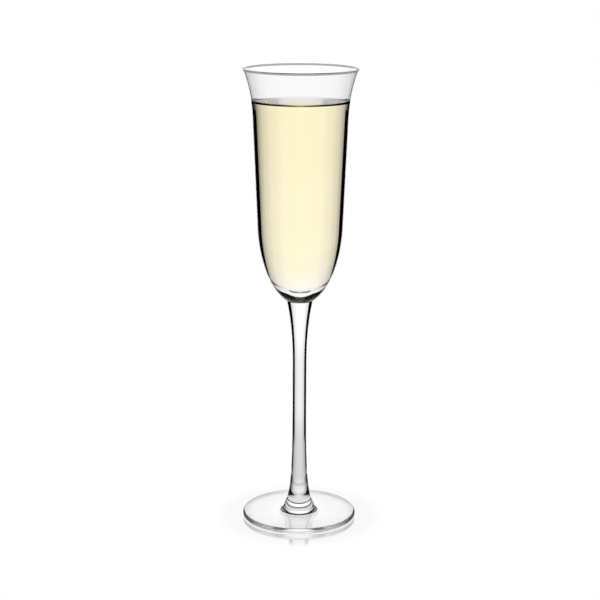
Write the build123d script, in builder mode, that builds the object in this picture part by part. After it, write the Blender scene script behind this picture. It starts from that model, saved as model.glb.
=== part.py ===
"""Stemmed glass flute in three hot-joined pieces, with its wine.

All sizes are millimetres. The origin is the centre of the resting face of the foot, +Z runs up the stem.
Every piece is a solid of revolution, drawn as a half outline in the XZ plane: X is the distance from the axis.
"""

from build123d import *
from math import acos, atan2, degrees, hypot, sqrt
import os

os.makedirs("parts", exist_ok=True)

# Foot
foot_radius = 31.45
foot_edge_thickness = 2.9
foot_crown_thickness = 3.4  # where the disc meets its boss
foot_edge_round = 1.3
boss_height = 9.0  # resting face to the joint with the stem
boss_blend = 3.0  # hollow round between boss and disc

# Stem
stem_length = 114.8
stem_top_radius = 7.1  # at the joint with the bowl
stem_waist_radius = 3.78
stem_waist_drop = 38.8  # joint with the bowl down to the waist
stem_base_radius = 7.1  # at the joint with the foot
top_flare_run = 3.3  # the stem leaves each joint along run over drop or run over rise
top_flare_drop = 15.6
base_flare_run = 3.6
base_flare_rise = 8.6
waist_reach_up = 10.3  # how far the waist stays nearly straight, each way
waist_reach_down = 40.8

# Bowl
bowl_height = 125.9  # joint with the stem to the top of the rim
belly_radius = 23.2  # half width of the egg-shaped end
egg_half_height = 47.0
neck_radius = 25.6  # top of the straight wall
lip_height = 25.8  # neck to the middle of the rim bead
rim_radius = 30.8  # outer face at the middle of the rim bead
rim_bead_radius = 0.6  # the fire-polished edge, rounder and thicker than the wall
wall = 0.7
base_thickness = 7.3  # solid glass between the stem and the inside

# Wine
fill_depth = 100.8  # inside of the base up to the flat of the wine
meniscus_reach = 2.0  # width of the ring where the wine climbs the wall
meniscus_radius = 2.5
meniscus_turn = 80  # degrees it turns up, enough to run into the wall

# Heights that the pieces share
stem_joint_z = boss_height + stem_length
total_height = stem_joint_z + bowl_height
rim_z = total_height - rim_bead_radius
neck_z = rim_z - lip_height
waist_z = stem_joint_z - stem_waist_drop
floor_z = stem_joint_z + base_thickness
fill_z = floor_z + fill_depth
# The outer egg passes through the edge of the stem joint.
egg_centre_z = stem_joint_z + egg_half_height * sqrt(1 - (stem_top_radius / belly_radius) ** 2)


def draw_bowl_side(inset, half_height, start_angle):
    """Draw one face of the bowl in the open line, from its egg-shaped end up to the rim."""
    half_width = belly_radius - inset
    neck = (neck_radius - inset, neck_z)
    rim = (rim_radius - inset, rim_z)
    # The straight wall leaves the ellipse where the line from the neck touches it.
    across = neck[0] / half_width
    up = (neck_z - egg_centre_z) / half_height
    touch_angle = degrees(atan2(up, across) - acos(1 / hypot(across, up)))
    egg = EllipticalCenterArc(
        (0, egg_centre_z), half_width, half_height, start_angle, arc_size=touch_angle - start_angle
    )
    straight = Line(egg @ 1, neck)
    lip = TangentArc(neck, rim, tangent=straight % 1)
    return egg, straight, lip


def draw_inside():
    """Draw the inside of the bowl, which the wine wets up to its surface."""
    return draw_bowl_side(wall, egg_centre_z - floor_z, -90)


def wetted_radius():
    """Give the inside radius of the bowl at the height of the wine."""
    with BuildLine(mode=Mode.PRIVATE):
        edges = draw_inside()
    level = Axis((0, fill_z, 0), (1, 0, 0))
    crossings = [point for edge in edges for point in edge.find_intersection_points(level)]
    return max(point.X for point in crossings)


# Foot: a disc with a rounded edge, and a low boss that carries on the spread of the stem.
boss_slope = base_flare_run / base_flare_rise
boss_base_radius = stem_base_radius + boss_slope * (boss_height - foot_crown_thickness)
with BuildPart() as foot:
    with BuildSketch(Plane.XZ):
        with BuildLine():
            Polyline(
                (0, 0),
                (foot_radius, 0),
                (foot_radius, foot_edge_thickness),
                (boss_base_radius, foot_crown_thickness),
                (stem_base_radius, boss_height),
                (0, boss_height),
                close=True,
            )
        make_face()
    revolve(axis=Axis.Z)
    rings = foot.edges().filter_by(GeomType.CIRCLE)
    fillet(rings.group_by(SortBy.RADIUS)[-1], foot_edge_round)
    hollow = foot.edges().filter_by(GeomType.CIRCLE).filter_by_position(
        Axis.Z, foot_crown_thickness, foot_crown_thickness
    )
    fillet(hollow, boss_blend)
foot.part.label = "foot"
export_step(foot.part, "parts/foot.step")

# Stem: drawn thin in the middle, spread at both joints.
with BuildPart() as stem:
    with BuildSketch(Plane.XZ):
        with BuildLine():
            upper = Bezier(
                (stem_top_radius, stem_joint_z),
                (stem_top_radius - top_flare_run, stem_joint_z - top_flare_drop),
                (stem_waist_radius, waist_z + waist_reach_up),
                (stem_waist_radius, waist_z),
            )
            lower = Bezier(
                (stem_waist_radius, waist_z),
                (stem_waist_radius, waist_z - waist_reach_down),
                (stem_base_radius - base_flare_run, boss_height + base_flare_rise),
                (stem_base_radius, boss_height),
            )
            Polyline(lower @ 1, (0, boss_height), (0, stem_joint_z), upper @ 0)
        make_face()
    revolve(axis=Axis.Z)
stem.part.label = "stem"
export_step(stem.part, "parts/stem.step")

# Bowl: thick base on the stem joint, thin wall, flared lip that ends in a fire-polished bead.
with BuildPart() as bowl:
    with BuildSketch(Plane.XZ):
        with BuildLine():
            joint_angle = -degrees(acos(stem_top_radius / belly_radius))
            outer_face = draw_bowl_side(0, egg_half_height, joint_angle)
            inner_face = draw_inside()
            Line(outer_face[-1] @ 1, inner_face[-1] @ 1)
            Polyline(inner_face[0] @ 0, (0, stem_joint_z), outer_face[0] @ 0)
        make_face()
        with Locations((rim_radius - wall / 2, rim_z)):
            Circle(rim_bead_radius)
    revolve(axis=Axis.Z)
bowl.part.label = "bowl"
export_step(bowl.part, "parts/bowl.step")

# Wine: fills the bowl to its flat surface, and climbs the wall in a round meniscus.
meniscus_start = wetted_radius() - meniscus_reach
with BuildPart() as wine:
    with BuildSketch(Plane.XZ):
        with BuildLine():
            wet_face = draw_inside()
            Polyline(wet_face[-1] @ 1, (0, rim_z), wet_face[0] @ 0)
        make_face()
        with BuildLine():
            climb = CenterArc((meniscus_start, fill_z + meniscus_radius), meniscus_radius, -90, meniscus_turn)
            Polyline(
                climb @ 1,
                (rim_radius, (climb @ 1).Y),
                (rim_radius, total_height),
                (0, total_height),
                (0, fill_z),
                climb @ 0,
            )
        make_face(mode=Mode.SUBTRACT)
    revolve(axis=Axis.Z)
wine.part.label = "wine"
export_step(wine.part, "parts/wine.step")
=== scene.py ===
"""Visual model of the stemmed glass flute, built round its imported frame.

Everything is in metres and in the frame's own axes: the origin is the centre of the resting face, +Z runs up
the stem. Bowl, stem, foot and wine are turned from half outlines whose heights come from the frame.
"""

from __future__ import annotations

import logging
import math
from dataclasses import dataclass, field
from enum import Enum
from typing import Callable, Iterable

import bpy
from mathutils import Matrix, Vector


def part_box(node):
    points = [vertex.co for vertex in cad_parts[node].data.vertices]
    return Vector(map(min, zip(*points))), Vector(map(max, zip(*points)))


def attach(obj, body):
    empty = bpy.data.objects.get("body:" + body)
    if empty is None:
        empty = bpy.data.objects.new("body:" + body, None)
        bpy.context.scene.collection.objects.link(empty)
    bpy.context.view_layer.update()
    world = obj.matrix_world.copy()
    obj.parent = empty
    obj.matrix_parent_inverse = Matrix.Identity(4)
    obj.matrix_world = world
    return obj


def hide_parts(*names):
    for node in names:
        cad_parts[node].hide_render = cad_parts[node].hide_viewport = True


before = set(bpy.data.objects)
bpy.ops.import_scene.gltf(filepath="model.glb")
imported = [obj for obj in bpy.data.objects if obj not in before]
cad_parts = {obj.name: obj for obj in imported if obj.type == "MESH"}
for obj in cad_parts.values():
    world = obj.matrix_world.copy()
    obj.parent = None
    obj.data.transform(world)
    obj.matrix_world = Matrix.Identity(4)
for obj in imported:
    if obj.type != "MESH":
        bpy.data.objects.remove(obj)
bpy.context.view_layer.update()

log = logging.getLogger("flute")

MM = 0.001
FULL_TURN = 2.0 * math.pi
QUARTER_TURN = math.pi / 2.0
SIDE_ON = 90.0
HALVINGS = 40  # enough to find a crossing to the last digit
SLACK = 0.02 * MM  # how far a face may lie from the plane it belongs to
FACING = 0.99  # how squarely a flat end faces up or down
GLASS_BOUNCES = 32  # a ray through stem, foot and wine crosses many faces
MIRROR_BOUNCES = 16
Point = tuple[float, float]
Colour = tuple[float, float, float]
FaceTest = Callable[[Vector, Vector], bool]
Finishes = dict["Face", bpy.types.Material]


class Face(Enum):
    """The kinds of face on a piece of glass, each with a finish of its own."""

    OPEN = "clear_glass"
    FUSED = "fused_joint"
    WETTED = "wetted_glass"
    RIM = "rim_glass_painted_shade"


@dataclass(frozen=True)
class Steps:
    """How many spans each stretch of an outline has."""

    joint: int = 6
    egg: int = 56
    wall: int = 14
    lip: int = 26
    wet_lip: int = 8
    dry_lip: int = 18
    round: int = 12
    bead: int = 28
    meniscus: int = 16
    level: int = 20
    disc: int = 24
    boss_blend: int = 16
    stem_base: int = 70
    stem_top: int = 50


STEPS = Steps()


# ---------------------------------------------------------------- outlines


def ellipse_points(centre_z: float, half_width: float, half_height: float, start: float, end: float,
                   steps: int) -> list[Point]:
    """Give the points of an ellipse centred on the axis.

    Args:
        centre_z: height of its centre.
        half_width: half axis across.
        half_height: half axis up.
        start: first angle in radians, from straight out.
        end: last angle.
        steps: number of spans.

    Returns:
        Distance from the axis and height of each point, both ends included.
    """
    angles = [start + (end - start) * i / steps for i in range(steps + 1)]
    return [(half_width * math.cos(a), centre_z + half_height * math.sin(a)) for a in angles]


def line_points(start: Point, end: Point, steps: int) -> list[Point]:
    """Give evenly spaced points of a straight line.

    Args:
        start: first point.
        end: last point.
        steps: number of spans.

    Returns:
        The points, both ends included.
    """
    return [
        (start[0] + (end[0] - start[0]) * i / steps, start[1] + (end[1] - start[1]) * i / steps)
        for i in range(steps + 1)
    ]


def bezier_points(corners: tuple[Point, Point, Point, Point], steps: int) -> list[Point]:
    """Give the points of a cubic Bezier curve.

    Args:
        corners: its four control points.
        steps: number of spans.

    Returns:
        The points, both ends included.
    """
    points = []
    for i in range(steps + 1):
        t = i / steps
        weights = ((1 - t) ** 3, 3 * t * (1 - t) ** 2, 3 * t * t * (1 - t), t**3)
        points.append(
            (sum(w * c[0] for w, c in zip(weights, corners)), sum(w * c[1] for w, c in zip(weights, corners)))
        )
    return points


def arc_points(centre: Point, radius: float, start: float, end: float, steps: int) -> list[Point]:
    """Give the points of a circular arc.

    Args:
        centre: its centre.
        radius: its radius.
        start: first angle in radians, from straight out.
        end: last angle.
        steps: number of spans.

    Returns:
        The points, both ends included.
    """
    angles = [start + (end - start) * i / steps for i in range(steps + 1)]
    return [(centre[0] + radius * math.cos(a), centre[1] + radius * math.sin(a)) for a in angles]


@dataclass(frozen=True)
class Lip:
    """The flared lip: an arc that leaves the straight wall smoothly and reaches the rim."""

    centre: Point
    radius: float

    @classmethod
    def between(cls, neck: Point, rim: Point, slope: float) -> Lip:
        """Fit the arc.

        Args:
            neck: where the straight wall ends.
            rim: where the arc ends.
            slope: how far the wall widens for each unit of height.

        Returns:
            The lip.
        """
        length = math.hypot(slope, 1.0)
        normal = (1.0 / length, -slope / length)
        across, up = rim[0] - neck[0], rim[1] - neck[1]
        radius = (across**2 + up**2) / (2.0 * (across * normal[0] + up * normal[1]))
        return cls((neck[0] + radius * normal[0], neck[1] + radius * normal[1]), radius)

    def radius_at(self, z: float) -> float:
        """Distance from the axis at a height."""
        return self.centre[0] - math.sqrt(self.radius**2 - (z - self.centre[1]) ** 2)

    def lean_at(self, z: float) -> float:
        """Angle in radians by which the lip leans outwards at a height."""
        return math.asin((z - self.centre[1]) / self.radius)

    def points(self, low: float, high: float, steps: int) -> list[Point]:
        """Give the points from one height up to another.

        Args:
            low: first height.
            high: last height.
            steps: number of spans.

        Returns:
            The points, both ends included.
        """
        heights = [low + (high - low) * i / steps for i in range(steps + 1)]
        return [(self.radius_at(z), z) for z in heights]


@dataclass(frozen=True)
class CupSide:
    """One face of the bowl, inside or outside: an egg-shaped end, a straight wall and a lip."""

    half_width: float
    half_height: float
    centre_z: float
    start: float
    neck: Point
    rim: Point

    @property
    def touch(self) -> float:
        """Find where the straight wall leaves the ellipse.

        Returns:
            The angle there, in radians.
        """
        across = self.neck[0] / self.half_width
        up = (self.neck[1] - self.centre_z) / self.half_height
        return math.atan2(up, across) - math.acos(1.0 / math.hypot(across, up))

    @property
    def shoulder(self) -> Point:
        """Where the straight wall leaves the ellipse."""
        up = self.half_height * math.sin(self.touch)
        return (self.half_width * math.cos(self.touch), self.centre_z + up)

    @property
    def lip(self) -> Lip:
        """Fit the lip above the neck.

        Returns:
            The lip.
        """
        shoulder = self.shoulder
        slope = (self.neck[0] - shoulder[0]) / (self.neck[1] - shoulder[1])
        return Lip.between(self.neck, self.rim, slope)

    def radius_at(self, z: float) -> float:
        """Find how far the face is from the axis.

        Args:
            z: the height.

        Returns:
            The distance at that height.
        """
        shoulder = self.shoulder
        if z >= self.neck[1]:
            return self.lip.radius_at(z)
        if z >= shoulder[1]:
            share = (z - shoulder[1]) / (self.neck[1] - shoulder[1])
            return shoulder[0] + (self.neck[0] - shoulder[0]) * share
        return self.half_width * math.sqrt(max(0.0, 1.0 - ((z - self.centre_z) / self.half_height) ** 2))

    def points(self, top: float, lip_steps: int) -> list[Point]:
        """Give the points from the closed end up to a height on the lip.

        Args:
            top: that height.
            lip_steps: number of spans on the lip.

        Returns:
            Distance from the axis and height of each point.
        """
        egg = ellipse_points(
            self.centre_z, self.half_width, self.half_height, self.start, self.touch, STEPS.egg
        )
        straight = line_points(self.shoulder, self.neck, STEPS.wall)
        return egg + straight[1:] + self.lip.points(self.neck[1], top, lip_steps)[1:]


# ---------------------------------------------------------------- turning


@dataclass(frozen=True)
class Lathe:
    """Turns a half outline into a closed piece, as a profile drawn point by point and spun round the axis."""

    segments: int = 256
    merge: float = 1.0e-6
    sharp_angle: float = math.radians(32.0)

    def turn(self, name: str, outline: list[Point]) -> bpy.types.Object:
        """Spin an outline that starts and ends on the axis.

        Args:
            name: name of the new piece.
            outline: distance from the axis and height of each point.

        Returns:
            The piece, with smooth faces that point outwards.
        """
        bpy.ops.object.select_all(action="DESELECT")
        start = outline[0]
        bpy.ops.mesh.primitive_plane_add(size=MM, location=(start[0], 0.0, start[1]))
        piece = bpy.context.object
        piece.name = piece.data.name = name
        bpy.ops.object.transform_apply(location=True, rotation=False, scale=False)
        bpy.ops.object.mode_set(mode="EDIT")
        bpy.ops.mesh.select_all(action="SELECT")
        bpy.ops.mesh.merge(type="CENTER")
        for last, this in zip(outline, outline[1:]):
            move = (this[0] - last[0], 0.0, this[1] - last[1])
            bpy.ops.mesh.extrude_region_move(TRANSFORM_OT_translate={"value": move})
        bpy.ops.mesh.select_all(action="SELECT")
        bpy.ops.mesh.spin(steps=self.segments, angle=FULL_TURN, center=(0.0, 0.0, 0.0), axis=(0.0, 0.0, 1.0))
        bpy.ops.mesh.select_all(action="SELECT")
        bpy.ops.mesh.remove_doubles(threshold=self.merge)
        bpy.ops.mesh.normals_make_consistent(inside=False)
        bpy.ops.object.mode_set(mode="OBJECT")
        bpy.ops.object.shade_smooth_by_angle(angle=self.sharp_angle)
        return piece


def dress(piece: bpy.types.Object, finishes: Iterable[tuple[bpy.types.Material, FaceTest | None]]) -> None:
    """Give a piece its materials.

    Args:
        piece: the piece.
        finishes: materials in slot order, each with the test of centre and normal that picks its faces.
    """
    for index, (material, test) in enumerate(finishes):
        piece.data.materials.append(material)
        if test is None:
            continue
        for face in piece.data.polygons:
            if test(face.center, face.normal):
                face.material_index = index


# ---------------------------------------------------------------- finishes


class Nodes:
    """Adds nodes to a material's tree and joins them."""

    def __init__(self, tree: bpy.types.NodeTree) -> None:
        """Hold the tree."""
        self.tree = tree

    def add(self, kind: str) -> bpy.types.Node:
        """Add a node of a kind."""
        return self.tree.nodes.new(kind)

    def join(self, source: bpy.types.NodeSocket, target: bpy.types.NodeSocket) -> None:
        """Join two sockets."""
        self.tree.links.new(source, target)

    def math(self, operation: str, first: bpy.types.NodeSocket,
             second: bpy.types.NodeSocket | float | None = None) -> bpy.types.NodeSocket:
        """Work out one number from one or two.

        Args:
            operation: name of the operation.
            first: the first value.
            second: the second value, joined or fixed.

        Returns:
            The socket that gives the result.
        """
        node = self.add("ShaderNodeMath")
        node.operation = operation
        self.join(first, node.inputs[0])
        if isinstance(second, (int, float)):
            node.inputs[1].default_value = second
        elif second is not None:
            self.join(second, node.inputs[1])
        return node.outputs["Value"]

    def curve(self, value: bpy.types.NodeSocket, reach: float, stops: list[Point]) -> bpy.types.NodeSocket:
        """Read a value off a curve drawn by its stops.

        Args:
            value: what the curve is read at.
            reach: the largest value that the curve covers.
            stops: positions and levels, positions in the units of the value.

        Returns:
            The socket that gives the level.
        """
        share = self.math("DIVIDE", value, reach)
        ramp = self.add("ShaderNodeValToRGB")
        ramp.color_ramp.interpolation = "EASE"
        elements = ramp.color_ramp.elements
        for index, (position, level) in enumerate(stops):
            element = elements[index] if index < 2 else elements.new(1.0)
            element.position = position / reach
            element.color = (level, level, level, 1.0)
        self.join(share, ramp.inputs["Fac"])
        return ramp.outputs["Color"]


def blank_material(name: str) -> tuple[bpy.types.Material, bpy.types.NodeTree, bpy.types.ShaderNode]:
    """Make a material that holds one shader.

    Args:
        name: its name.

    Returns:
        The material, its node tree and its Principled shader.
    """
    material = bpy.data.materials.new(name)
    material.use_nodes = True
    tree = material.node_tree
    return material, tree, tree.nodes["Principled BSDF"]


@dataclass(frozen=True)
class ClearFinish:
    """Clear glass or liquid, which may ripple a little, may take colour from its depth, and may carry a grey
    base colour that is painted shade.
    """

    name: str
    ior: float
    painted_shade: Colour = (1.0, 1.0, 1.0)
    roughness: float = 0.0
    ripple: float = 0.0
    ripple_scale: float = 45.0
    ripple_height: float = 0.05 * MM
    depth_colour: Colour | None = None
    depth_density: float = 0.0

    def make(self) -> bpy.types.Material:
        """Build the material.

        Returns:
            The material.
        """
        material, tree, shader = blank_material(self.name)
        # A grey base colour here is painted shade; white leaves the glass clear.
        shader.inputs["Base Color"].default_value = (*self.painted_shade, 1.0)
        shader.inputs["Roughness"].default_value = self.roughness
        shader.inputs["IOR"].default_value = self.ior
        shader.inputs["Transmission Weight"].default_value = 1.0
        if self.ripple > 0.0:
            self.add_ripple(Nodes(tree), shader)
        if self.depth_colour is not None:
            depth = tree.nodes.new("ShaderNodeVolumeAbsorption")
            depth.inputs["Color"].default_value = (*self.depth_colour, 1.0)
            depth.inputs["Density"].default_value = self.depth_density
            tree.links.new(depth.outputs["Volume"], tree.nodes["Material Output"].inputs["Volume"])
        return material

    def add_ripple(self, nodes: Nodes, shader: bpy.types.ShaderNode) -> None:
        """Give the surface the slight unevenness of hand-worked glass.

        Args:
            nodes: the material's nodes.
            shader: the shader that takes it.
        """
        place = nodes.add("ShaderNodeTexCoord")
        noise = nodes.add("ShaderNodeTexNoise")
        noise.inputs["Scale"].default_value = self.ripple_scale
        noise.inputs["Detail"].default_value = 1.0
        nodes.join(place.outputs["Object"], noise.inputs["Vector"])
        bump = nodes.add("ShaderNodeBump")
        bump.inputs["Strength"].default_value = self.ripple
        bump.inputs["Distance"].default_value = self.ripple_height
        nodes.join(noise.outputs["Fac"], bump.inputs["Height"])
        nodes.join(bump.outputs["Normal"], shader.inputs["Normal"])


GLASS_IOR = 1.52
WINE_IOR = 1.344
WINE_DEPTH = (0.97, 0.8, 0.08)
WINE_DENSITY = 11.5
# Painted shade: a grey base colour that darkens the rim bead.
RIM_PAINTED_SHADE = (0.42, 0.42, 0.43)


# ---------------------------------------------------------------- pieces


@dataclass
class Bowl:
    """The blown cup, with a thick base, a thin wall and a flared lip."""

    belly_radius: float = 23.2 * MM
    egg_half_height: float = 47.0 * MM
    joint_radius: float = 7.1 * MM
    neck_radius: float = 25.6 * MM
    lip_height: float = 25.8 * MM
    rim_radius: float = 30.8 * MM
    bead_radius: float = 0.6 * MM
    wall: float = 0.7 * MM
    base_z: float = field(default_factory=lambda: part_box("bowl")[0].z)
    top_z: float = field(default_factory=lambda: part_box("bowl")[1].z)
    floor_z: float = field(default_factory=lambda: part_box("wine")[0].z)

    @property
    def rim_z(self) -> float:
        """Height of the middle of the rim bead."""
        return self.top_z - self.bead_radius

    @property
    def egg_centre_z(self) -> float:
        """Height of the widest part of the egg-shaped end."""
        share = self.joint_radius / self.belly_radius
        return self.base_z + self.egg_half_height * math.sqrt(1.0 - share**2)

    def side(self, inset: float, half_height: float, start: float) -> CupSide:
        """Give one face of the cup.

        Args:
            inset: how far it lies within the outer face.
            half_height: half height of its egg-shaped end.
            start: angle on the ellipse where it starts.

        Returns:
            The face.
        """
        return CupSide(
            self.belly_radius - inset, half_height, self.egg_centre_z, start,
            (self.neck_radius - inset, self.rim_z - self.lip_height), (self.rim_radius - inset, self.rim_z),
        )

    @property
    def outside(self) -> CupSide:
        """The outer face, from the stem joint up."""
        return self.side(0.0, self.egg_half_height, -math.acos(self.joint_radius / self.belly_radius))

    @property
    def inside(self) -> CupSide:
        """The inner face, from the axis up."""
        return self.side(self.wall, self.egg_centre_z - self.floor_z, -QUARTER_TURN)

    def outline(self, contact_z: float) -> list[Point]:
        """Draw the half outline: out over the joint, up the outside, over the rim and down the inside.

        Args:
            contact_z: height of the line where the wine meets the wall.

        Returns:
            Distance from the axis and height of each point.
        """
        outside, inside = self.outside, self.inside
        middle = (self.rim_radius - self.wall / 2.0, self.rim_z)
        outer_end, inner_end = self.bead_meets(outside.lip, middle), self.bead_meets(inside.lip, middle)
        start = math.atan2(outer_end[1] - middle[1], outer_end[0] - middle[0])
        end = math.atan2(inner_end[1] - middle[1], inner_end[0] - middle[0]) + FULL_TURN
        bead = arc_points(middle, self.bead_radius, start, end, STEPS.bead)
        joint = line_points((0.0, self.base_z), (self.joint_radius, self.base_z), STEPS.joint)
        outer = outside.points(outer_end[1], STEPS.lip)
        dry = inside.lip.points(contact_z, inner_end[1], STEPS.dry_lip)
        wet = inside.points(contact_z, STEPS.wet_lip)
        return joint + outer[1:] + bead[1:-1] + dry[::-1] + wet[::-1][1:]

    def bead_meets(self, lip: Lip, middle: Point) -> Point:
        """Find where a face of the lip runs into the rim bead.

        Args:
            lip: that face of the lip.
            middle: centre of the bead's round section.

        Returns:
            The point where they meet.
        """
        low, high = middle[1] - 2.0 * self.bead_radius, middle[1]
        for _ in range(HALVINGS):
            z = (low + high) / 2.0
            if math.hypot(lip.radius_at(z) - middle[0], z - middle[1]) > self.bead_radius:
                low = z
            else:
                high = z
        return (lip.radius_at(high), high)

    def build(self, lathe: Lathe, contact_z: float, finishes: Finishes) -> bpy.types.Object:
        """Turn and dress the bowl.

        Args:
            lathe: the lathe.
            contact_z: height of the line where the wine meets the wall.
            finishes: the glass finishes.

        Returns:
            The bowl.
        """
        piece = lathe.turn("flute_bowl", self.outline(contact_z))
        inside = self.inside

        def is_joint(centre: Vector, normal: Vector) -> bool:
            """Whether a face is fused to the stem."""
            return abs(centre.z - self.base_z) < SLACK and normal.z < -FACING

        def is_wetted(centre: Vector, normal: Vector) -> bool:
            """Whether a face of the inside lies below the edge of the wine.

            Args:
                centre: centre of the face.
                normal: its normal, not used.

            Returns:
                True where it does.
            """
            reach = math.hypot(centre.x, centre.y)
            return (self.floor_z - SLACK < centre.z < contact_z
                    and reach < inside.radius_at(max(centre.z, self.floor_z)) + self.wall / 3.0)

        def is_rim(centre: Vector, normal: Vector) -> bool:
            """Whether a face is on the rim bead."""
            return centre.z > self.rim_z - self.bead_radius

        dress(piece, [
            (finishes[Face.OPEN], None), (finishes[Face.FUSED], is_joint), (finishes[Face.WETTED], is_wetted),
            (finishes[Face.RIM], is_rim),
        ])
        return piece


@dataclass
class Stem:
    """The solid drawn stem."""

    waist_radius: float = 3.78 * MM
    waist_drop: float = 38.8 * MM
    top_radius: float = 7.1 * MM
    base_radius: float = 7.1 * MM
    top_flare: Point = (3.3 * MM, 15.6 * MM)
    base_flare: Point = (3.6 * MM, 8.6 * MM)
    reach_up: float = 10.3 * MM
    reach_down: float = 40.8 * MM
    low_z: float = field(default_factory=lambda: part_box("stem")[0].z)
    high_z: float = field(default_factory=lambda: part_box("stem")[1].z)

    def outline(self) -> list[Point]:
        """Draw the half outline from the foot joint up to the bowl joint.

        Returns:
            Distance from the axis and height of each point.
        """
        waist_z = self.high_z - self.waist_drop
        lower = bezier_points((
            (self.base_radius, self.low_z),
            (self.base_radius - self.base_flare[0], self.low_z + self.base_flare[1]),
            (self.waist_radius, waist_z - self.reach_down),
            (self.waist_radius, waist_z),
        ), STEPS.stem_base)
        upper = bezier_points((
            (self.waist_radius, waist_z),
            (self.waist_radius, waist_z + self.reach_up),
            (self.top_radius - self.top_flare[0], self.high_z - self.top_flare[1]),
            (self.top_radius, self.high_z),
        ), STEPS.stem_top)
        base = line_points((0.0, self.low_z), (self.base_radius, self.low_z), STEPS.joint)
        top = line_points((self.top_radius, self.high_z), (0.0, self.high_z), STEPS.joint)
        return base + lower[1:] + upper[1:] + top[1:]

    def build(self, lathe: Lathe, finishes: Finishes) -> bpy.types.Object:
        """Turn and dress the stem.

        Args:
            lathe: the lathe.
            finishes: the glass finishes.

        Returns:
            The stem.
        """
        piece = lathe.turn("flute_stem", self.outline())

        def is_joint(centre: Vector, normal: Vector) -> bool:
            """Whether a face is fused to the bowl or the foot."""
            away = min(abs(centre.z - self.low_z), abs(centre.z - self.high_z))
            return away < SLACK and abs(normal.z) > FACING

        dress(piece, [(finishes[Face.OPEN], None), (finishes[Face.FUSED], is_joint)])
        return piece


@dataclass
class Foot:
    """The round foot with its boss."""

    edge_thickness: float = 2.9 * MM
    crown_thickness: float = 3.4 * MM
    edge_round: float = 1.3 * MM
    boss_radius: float = 7.1 * MM
    boss_taper: Point = (3.6 * MM, 8.6 * MM)
    boss_blend: float = 3.0 * MM
    radius: float = field(default_factory=lambda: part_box("foot")[1].x)
    low_z: float = field(default_factory=lambda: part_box("foot")[0].z)
    high_z: float = field(default_factory=lambda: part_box("foot")[1].z)

    def outline(self) -> list[Point]:
        """Draw the half outline from the centre of the resting face, round the edge and up the boss.

        Returns:
            Distance from the axis and height of each point.
        """
        crown_z = self.low_z + self.crown_thickness
        edge_z = self.low_z + self.edge_thickness
        spread = self.boss_taper[0] / self.boss_taper[1] * (self.high_z - crown_z)
        corner = (self.boss_radius + spread, crown_z)
        sag = math.atan2(crown_z - edge_z, self.radius - corner[0])
        rise = math.atan2(self.high_z - crown_z, corner[0] - self.boss_radius)
        flat = self.radius - self.edge_round
        low_centre = (flat, self.low_z + self.edge_round)
        low_round = arc_points(low_centre, self.edge_round, -QUARTER_TURN, 0.0, STEPS.round)
        high_centre = (flat, edge_z - self.edge_round * math.tan((QUARTER_TURN - sag) / 2.0))
        high_round = arc_points(high_centre, self.edge_round, 0.0, QUARTER_TURN - sag, STEPS.round)
        turn = rise - sag
        hollow = self.boss_blend * math.tan(turn / 2.0)
        start = (corner[0] + hollow * math.cos(sag), crown_z - hollow * math.sin(sag))
        centre = (start[0] + self.boss_blend * math.sin(sag), start[1] + self.boss_blend * math.cos(sag))
        lowest = -QUARTER_TURN - sag
        blend = arc_points(centre, self.boss_blend, lowest, lowest - turn, STEPS.boss_blend)
        rest = line_points((0.0, self.low_z), (flat, self.low_z), STEPS.disc)
        disc = line_points(high_round[-1], blend[0], STEPS.disc)
        boss = line_points(blend[-1], (self.boss_radius, self.high_z), STEPS.round)
        joint = line_points((self.boss_radius, self.high_z), (0.0, self.high_z), STEPS.joint)
        return rest + low_round[1:] + high_round + disc[1:] + blend[1:] + boss[1:] + joint[1:]

    def build(self, lathe: Lathe, finishes: Finishes) -> bpy.types.Object:
        """Turn and dress the foot.

        Args:
            lathe: the lathe.
            finishes: the glass finishes.

        Returns:
            The foot.
        """
        piece = lathe.turn("flute_foot", self.outline())

        def is_joint(centre: Vector, normal: Vector) -> bool:
            """Whether a face is fused to the stem."""
            return abs(centre.z - self.high_z) < SLACK and normal.z > FACING

        dress(piece, [(finishes[Face.OPEN], None), (finishes[Face.FUSED], is_joint)])
        return piece


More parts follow.
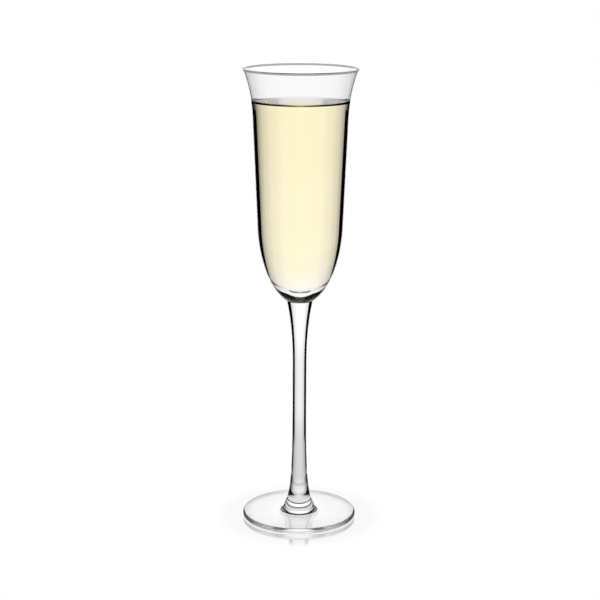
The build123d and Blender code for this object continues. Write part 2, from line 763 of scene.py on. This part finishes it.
@dataclass
class Wine:
    """The filling, with a round meniscus at the wall."""

    side: CupSide
    fill_depth: float = 100.8 * MM
    meniscus_reach: float = 2.0 * MM
    meniscus_radius: float = 2.5 * MM
    film: float = 0.03 * MM
    skin: float = 0.02 * MM
    floor_rings: int = 4
    level_facing: float = 0.02
    low_z: float = field(default_factory=lambda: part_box("wine")[0].z)

    @property
    def level_z(self) -> float:
        """Height of the flat of the wine."""
        return self.low_z + self.fill_depth

    @property
    def climb(self) -> float:
        """Find the angle through which the meniscus turns up before it meets the wall.

        Returns:
            The angle in radians.
        """
        start = self.side.radius_at(self.level_z) - self.meniscus_reach
        low, high = 0.0, QUARTER_TURN
        for _ in range(HALVINGS):
            angle = (low + high) / 2.0
            z = self.level_z + self.meniscus_radius * (1.0 - math.cos(angle))
            if start + self.meniscus_radius * math.sin(angle) < self.side.radius_at(z):
                low = angle
            else:
                high = angle
        return low

    @property
    def contact_z(self) -> float:
        """Height of the line where the wine meets the wall."""
        return self.level_z + self.meniscus_radius * (1.0 - math.cos(self.climb))

    def surface(self, drop: float) -> list[Point]:
        """Draw the wine's surface from the wall to the axis.

        Args:
            drop: how far below the true surface they lie.

        Returns:
            Distance from the axis and height of each point.
        """
        start = self.side.radius_at(self.level_z) - self.meniscus_reach
        centre = (start - self.film, self.level_z + self.meniscus_radius)
        edge = self.climb - QUARTER_TURN
        rise = arc_points(centre, self.meniscus_radius + drop, edge, -QUARTER_TURN, STEPS.meniscus)
        return rise + line_points(rise[-1], (0.0, self.level_z - drop), STEPS.level)[1:]

    def outline(self) -> list[Point]:
        """Draw the half outline from the bottom of the cup, up its side and back under the film.

        Returns:
            Distance from the axis and height of each point.
        """
        under = self.surface(2.0 * self.skin)
        side = self.side.points(under[0][1], STEPS.wet_lip)
        wet = [
            (max(reach - self.film, 0.0), z + (self.film if i < self.floor_rings else 0.0))
            for i, (reach, z) in enumerate(side)
        ]
        return wet[:-1] + [(wet[-1][0], under[0][1])] + under[1:]

    def film_outline(self) -> list[Point]:
        """Half outline of the film, from the axis out along its underside and back over its top."""
        return self.surface(self.skin)[::-1] + self.surface(0.0)

    def build(self, lathe: Lathe, body: bpy.types.Material, under: bpy.types.Material,
              top: bpy.types.Material) -> list[bpy.types.Object]:
        """Turn and dress the wine.

        Args:
            lathe: the lathe.
            body: finish of the coloured body.
            under: finish of the underside of the film.
            top: finish of the surface that bends the light.

        Returns:
            The body of the wine and the film on it.
        """
        filling = lathe.turn("flute_wine", self.outline())
        dress(filling, [(body, None)])
        film = lathe.turn("flute_wine_surface", self.film_outline())

        def is_top(centre: Vector, normal: Vector) -> bool:
            """Whether a face looks up."""
            return normal.z > self.level_facing

        dress(film, [(under, None), (top, is_top)])
        return [filling, film]


# ---------------------------------------------------------------- studio


@dataclass(frozen=True)
class Field:
    """The lit field behind the glass: white straight to the camera, and fading sideways through the glass."""

    seen: float = 1.0
    lean: float = 1.2
    level: float = 1.13
    sideways: tuple[Point, ...] = (
        (0.0, 1.0), (10.0, 0.98), (20.0, 0.88), (30.0, 0.74), (37.0, 0.58), (42.5, 0.34), (47.0, 0.1),
        (53.0, 0.02), (SIDE_ON, 0.005),
    )
    direct_depth: float = 3.5
    # Painted light: full glow of the floor under and round the foot, by distance from the axis.
    under: tuple[Point, ...] = ((0.0, 1.0), (0.026, 0.97), (0.031, 0.7), (0.035, 0.2), (0.042, 0.0))

    def strength(self, nodes: Nodes, across: bpy.types.NodeSocket,
                 away: bpy.types.NodeSocket) -> bpy.types.NodeSocket:
        """Give the strength of the light at a place.

        Args:
            nodes: the material's nodes.
            across: how far the place lies to the side.
            away: how far it lies behind the glass.

        Returns:
            The socket that gives the strength through the glass.
        """
        bearing = nodes.math("ADD", nodes.math("DEGREES", nodes.math("ARCTAN2", across, away)), self.lean)
        degrees = nodes.math("MINIMUM", nodes.math("ABSOLUTE", bearing), SIDE_ON)
        return nodes.math("MULTIPLY", nodes.curve(degrees, SIDE_ON, list(self.sideways)), self.level)

    def floor_strength(self, nodes: Nodes, across: bpy.types.NodeSocket,
                       away: bpy.types.NodeSocket) -> bpy.types.NodeSocket:
        """Give the strength on the floor, which keeps painted light all round under the glass as well.

        Args:
            nodes: the material's nodes.
            across: how far the place lies to the side.
            away: how far it lies behind the glass.

        Returns:
            The socket that gives the strength through the glass.
        """
        squares = nodes.math("ADD", nodes.math("POWER", across, 2.0), nodes.math("POWER", away, 2.0))
        edge = self.under[-1][0]
        reach = nodes.math("MINIMUM", nodes.math("SQRT", squares), edge)
        # Painted light kept under the foot, for rays that crossed few faces of glass.
        painted_light_beneath = nodes.curve(reach, edge, list(self.under))
        depth = nodes.add("ShaderNodeLightPath").outputs["Transmission Depth"]
        direct = nodes.math("LESS_THAN", depth, self.direct_depth)
        painted_near = nodes.math("MULTIPLY", nodes.math("MULTIPLY", painted_light_beneath, self.level), direct)
        return nodes.math("MAXIMUM", self.strength(nodes, across, away), painted_near)

    def to_camera(self, nodes: Nodes, strength: bpy.types.NodeSocket) -> bpy.types.NodeSocket:
        """Replace the strength by plain white straight to the camera.

        Args:
            nodes: the material's nodes.
            strength: the strength through the glass.

        Returns:
            The socket that gives the strength.
        """
        path = nodes.add("ShaderNodeLightPath")
        level = nodes.add("ShaderNodeMapRange")
        nodes.join(path.outputs["Is Camera Ray"], level.inputs["Value"])
        nodes.join(strength, level.inputs["To Min"])
        level.inputs["To Max"].default_value = self.seen
        return level.outputs["Result"]


def emitter(name: str) -> tuple[bpy.types.Material, Nodes, bpy.types.Node]:
    """Make a material that only glows.

    Args:
        name: its name.

    Returns:
        The material, its nodes and its emission shader.
    """
    material = bpy.data.materials.new(name)
    material.use_nodes = True
    nodes = Nodes(material.node_tree)
    nodes.tree.nodes.remove(nodes.tree.nodes["Principled BSDF"])
    light = nodes.add("ShaderNodeEmission")
    nodes.join(light.outputs["Emission"], nodes.tree.nodes["Material Output"].inputs["Surface"])
    return material, nodes, light


@dataclass
class Studio:
    """Pale floor, soft light and camera, with the lit field and the dark cards kept behind the glass."""

    camera_distance: float = 0.8239
    camera_height: float = 0.3221
    camera_pitch: float = 0.236
    camera_roll: float = 0.0045
    camera_yaw: float = -0.0001
    lens: float = 93.11
    floor_gap: float = 0.25 * MM
    floor_side: float = 16.0
    # Painted shade: through the glass the floor glows dimmer near the glass, by distance from its centre.
    painted_floor_shade: tuple[Point, ...] = (
        (0.0, 0.88), (0.05, 0.66), (0.12, 0.68), (0.2, 0.85), (0.6, 1.0), (1.0, 1.02),
    )
    sheen: tuple[Point, ...] = (
        (0.0, 0.16), (0.031, 0.16), (0.0325, 0.5), (0.038, 0.5), (0.05, 0.0), (0.1, 0.0),
    )
    sheen_roughness: float = 0.1
    slot_half: float = 0.061
    slot_y: float = 0.095
    slot_height: float = 0.228
    wing: float = 0.9
    screen_y: float = 1.5
    screen_width: float = 6.0
    screen_top: float = 1.45
    screen_foot: float = -0.1
    room: float = 0.005
    lit: Field = field(default_factory=Field)

    def place_camera(self) -> bpy.types.Object:
        """Set the camera in front of the glass, looking a little down.

        Returns:
            The camera.
        """
        data = bpy.data.cameras.new("camera")
        data.lens = self.lens
        data.dof.use_dof = False
        camera = bpy.data.objects.new("camera", data)
        bpy.context.scene.collection.objects.link(camera)
        turn = (
            Matrix.Rotation(self.camera_yaw, 4, "Z")
            @ Matrix.Rotation(QUARTER_TURN - self.camera_pitch, 4, "X")
            @ Matrix.Rotation(self.camera_roll, 4, "Z")
        )
        camera.matrix_world = Matrix.Translation((0.0, -self.camera_distance, self.camera_height)) @ turn
        bpy.context.scene.camera = camera
        return camera

    def place_rig(self, camera: bpy.types.Object) -> bpy.types.Object:
        """Add the pivot that turns the field and the cards with the camera.

        Args:
            camera: the camera.

        Returns:
            The pivot.
        """
        rig = bpy.data.objects.new("studio_rig", None)
        bpy.context.scene.collection.objects.link(rig)
        follow = rig.constraints.new("COPY_ROTATION")
        follow.target = camera
        follow.use_x = follow.use_y = False
        return rig

    def panel(self, name: str, centre: tuple[float, float, float], size: Point, upright: bool,
              material: bpy.types.Material) -> bpy.types.Object:
        """Add a flat panel.

        Args:
            name: its name.
            centre: where its centre is.
            size: its width, and its height or depth.
            upright: whether it stands across the view or lies flat.
            material: its material.

        Returns:
            The panel.
        """
        bpy.ops.object.select_all(action="DESELECT")
        bpy.ops.mesh.primitive_plane_add(
            size=1.0, location=centre, rotation=(QUARTER_TURN if upright else 0.0, 0.0, 0.0)
        )
        panel = bpy.context.object
        panel.name = panel.data.name = name
        panel.scale = (size[0], size[1], 1.0)
        bpy.ops.object.transform_apply(location=False, rotation=False, scale=True)
        panel.data.materials.append(material)
        return panel

    def screen_material(self) -> bpy.types.Material:
        """Make the finish of the lit screen.

        Returns:
            The material.
        """
        material, nodes, light = emitter("screen")
        place = nodes.add("ShaderNodeTexCoord")
        split = nodes.add("ShaderNodeSeparateXYZ")
        nodes.join(place.outputs["Object"], split.inputs["Vector"])
        away = nodes.add("ShaderNodeValue")
        away.outputs["Value"].default_value = self.screen_y
        strength = self.lit.strength(nodes, split.outputs["X"], away.outputs["Value"])
        nodes.join(self.lit.to_camera(nodes, strength), light.inputs["Strength"])
        return material

    def floor_material(self) -> bpy.types.Material:
        """Make the finish of the floor: plain white straight to the camera, and through the glass a glow with
        painted light and shade, with a faint sheen under the glass.

        Returns:
            The material.
        """
        material, nodes, light = emitter("floor")
        place = nodes.add("ShaderNodeTexCoord")
        split = nodes.add("ShaderNodeSeparateXYZ")
        nodes.join(place.outputs["Object"], split.inputs["Vector"])
        length = nodes.add("ShaderNodeVectorMath")
        length.operation = "LENGTH"
        nodes.join(place.outputs["Object"], length.inputs[0])
        distance = length.outputs["Value"]
        # Painted shade near the glass, seen only through the glass.
        painted_near = nodes.curve(distance, self.painted_floor_shade[-1][0], list(self.painted_floor_shade))
        side = self.lit.floor_strength(nodes, split.outputs["X"], split.outputs["Y"])
        strength = nodes.math("MULTIPLY", side, painted_near)
        nodes.join(self.lit.to_camera(nodes, strength), light.inputs["Strength"])
        reach = self.sheen[-1][0]
        mask = nodes.curve(nodes.math("MINIMUM", distance, reach), reach, list(self.sheen))
        gloss = nodes.add("ShaderNodeBsdfGlossy")
        gloss.inputs["Roughness"].default_value = self.sheen_roughness
        mix = nodes.add("ShaderNodeMixShader")
        nodes.join(mask, mix.inputs["Fac"])
        nodes.join(light.outputs["Emission"], mix.inputs[1])
        nodes.join(gloss.outputs["BSDF"], mix.inputs[2])
        nodes.join(mix.outputs["Shader"], nodes.tree.nodes["Material Output"].inputs["Surface"])
        return material

    def card_material(self) -> bpy.types.Material:
        """Make the matt black of the cards.

        Returns:
            The material.
        """
        material, _, light = emitter("black_card")
        light.inputs["Strength"].default_value = 0.0
        return material

    def build(self) -> None:
        """Set up the floor, the screen, the cards, the light and the camera."""
        rig = self.place_rig(self.place_camera())
        self.light()
        floor = self.panel(
            "floor", (0.0, 0.0, -self.floor_gap), (self.floor_side, self.floor_side), False,
            self.floor_material(),
        )
        screen = self.panel(
            "screen", (0.0, self.screen_y, (self.screen_top + self.screen_foot) / 2.0),
            (self.screen_width, self.screen_top - self.screen_foot), True, self.screen_material(),
        )
        floor.parent = screen.parent = rig
        black = self.card_material()
        for side in (-1.0, 1.0):
            across = side * (self.slot_half + self.wing / 2.0)
            centre = (across, self.slot_y, self.slot_height / 2.0)
            card = self.panel("card", centre, (self.wing, self.slot_height), True, black)
            card.parent = rig
            card.visible_camera = False

    def light(self) -> None:
        """Give the world an even grey, white to the camera."""
        world = bpy.data.worlds.new("studio")
        world.use_nodes = True
        nodes = Nodes(world.node_tree)
        path = nodes.add("ShaderNodeLightPath")
        level = nodes.add("ShaderNodeMapRange")
        level.inputs["To Min"].default_value = self.room
        level.inputs["To Max"].default_value = 1.0
        nodes.join(path.outputs["Is Camera Ray"], level.inputs["Value"])
        nodes.join(level.outputs["Result"], nodes.tree.nodes["Background"].inputs["Strength"])
        nodes.tree.nodes["Background"].inputs["Color"].default_value = (1.0, 1.0, 1.0, 1.0)
        bpy.context.scene.world = world


def main() -> None:
    """Build the glass piece by piece and report each."""
    scene = bpy.context.scene
    scene.view_settings.view_transform = "Standard"
    scene.cycles.max_bounces = GLASS_BOUNCES
    scene.cycles.transmission_bounces = GLASS_BOUNCES
    scene.cycles.transparent_max_bounces = GLASS_BOUNCES
    scene.cycles.glossy_bounces = MIRROR_BOUNCES

    lathe = Lathe()
    finishes = {
        Face.OPEN: ClearFinish("clear_glass", GLASS_IOR, ripple=0.3).make(),
        # The rim bead's grey base colour is painted shade.
        Face.RIM: ClearFinish("rim_glass_painted_shade", GLASS_IOR, painted_shade=RIM_PAINTED_SHADE, roughness=0.12, ripple=0.3).make(),
        Face.FUSED: ClearFinish("fused_joint", 1.0).make(),
        Face.WETTED: ClearFinish("wetted_glass", GLASS_IOR / WINE_IOR, ripple=0.3).make(),
    }
    wine_body = ClearFinish("wine_body", 1.0, depth_colour=WINE_DEPTH, depth_density=WINE_DENSITY).make()
    wine_under = ClearFinish("wine_under", 1.0).make()
    wine_surface = ClearFinish("wine_surface", WINE_IOR, ripple=0.2, ripple_scale=90.0).make()

    bowl_maker = Bowl()
    wine_maker = Wine(bowl_maker.inside)
    pieces = {
        "bowl": [bowl_maker.build(lathe, wine_maker.contact_z, finishes)],
        "stem": [Stem().build(lathe, finishes)],
        "foot": [Foot().build(lathe, finishes)],
        "wine": wine_maker.build(lathe, wine_body, wine_under, wine_surface),
    }
    for node, made in pieces.items():
        for piece in made:
            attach(piece, "root")
            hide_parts(node)
            log.info("%s: %d faces", piece.name, len(piece.data.polygons))
    Studio().build()


if __name__ == "__main__":
    logging.basicConfig(level=logging.INFO, format="%(message)s")
    main()
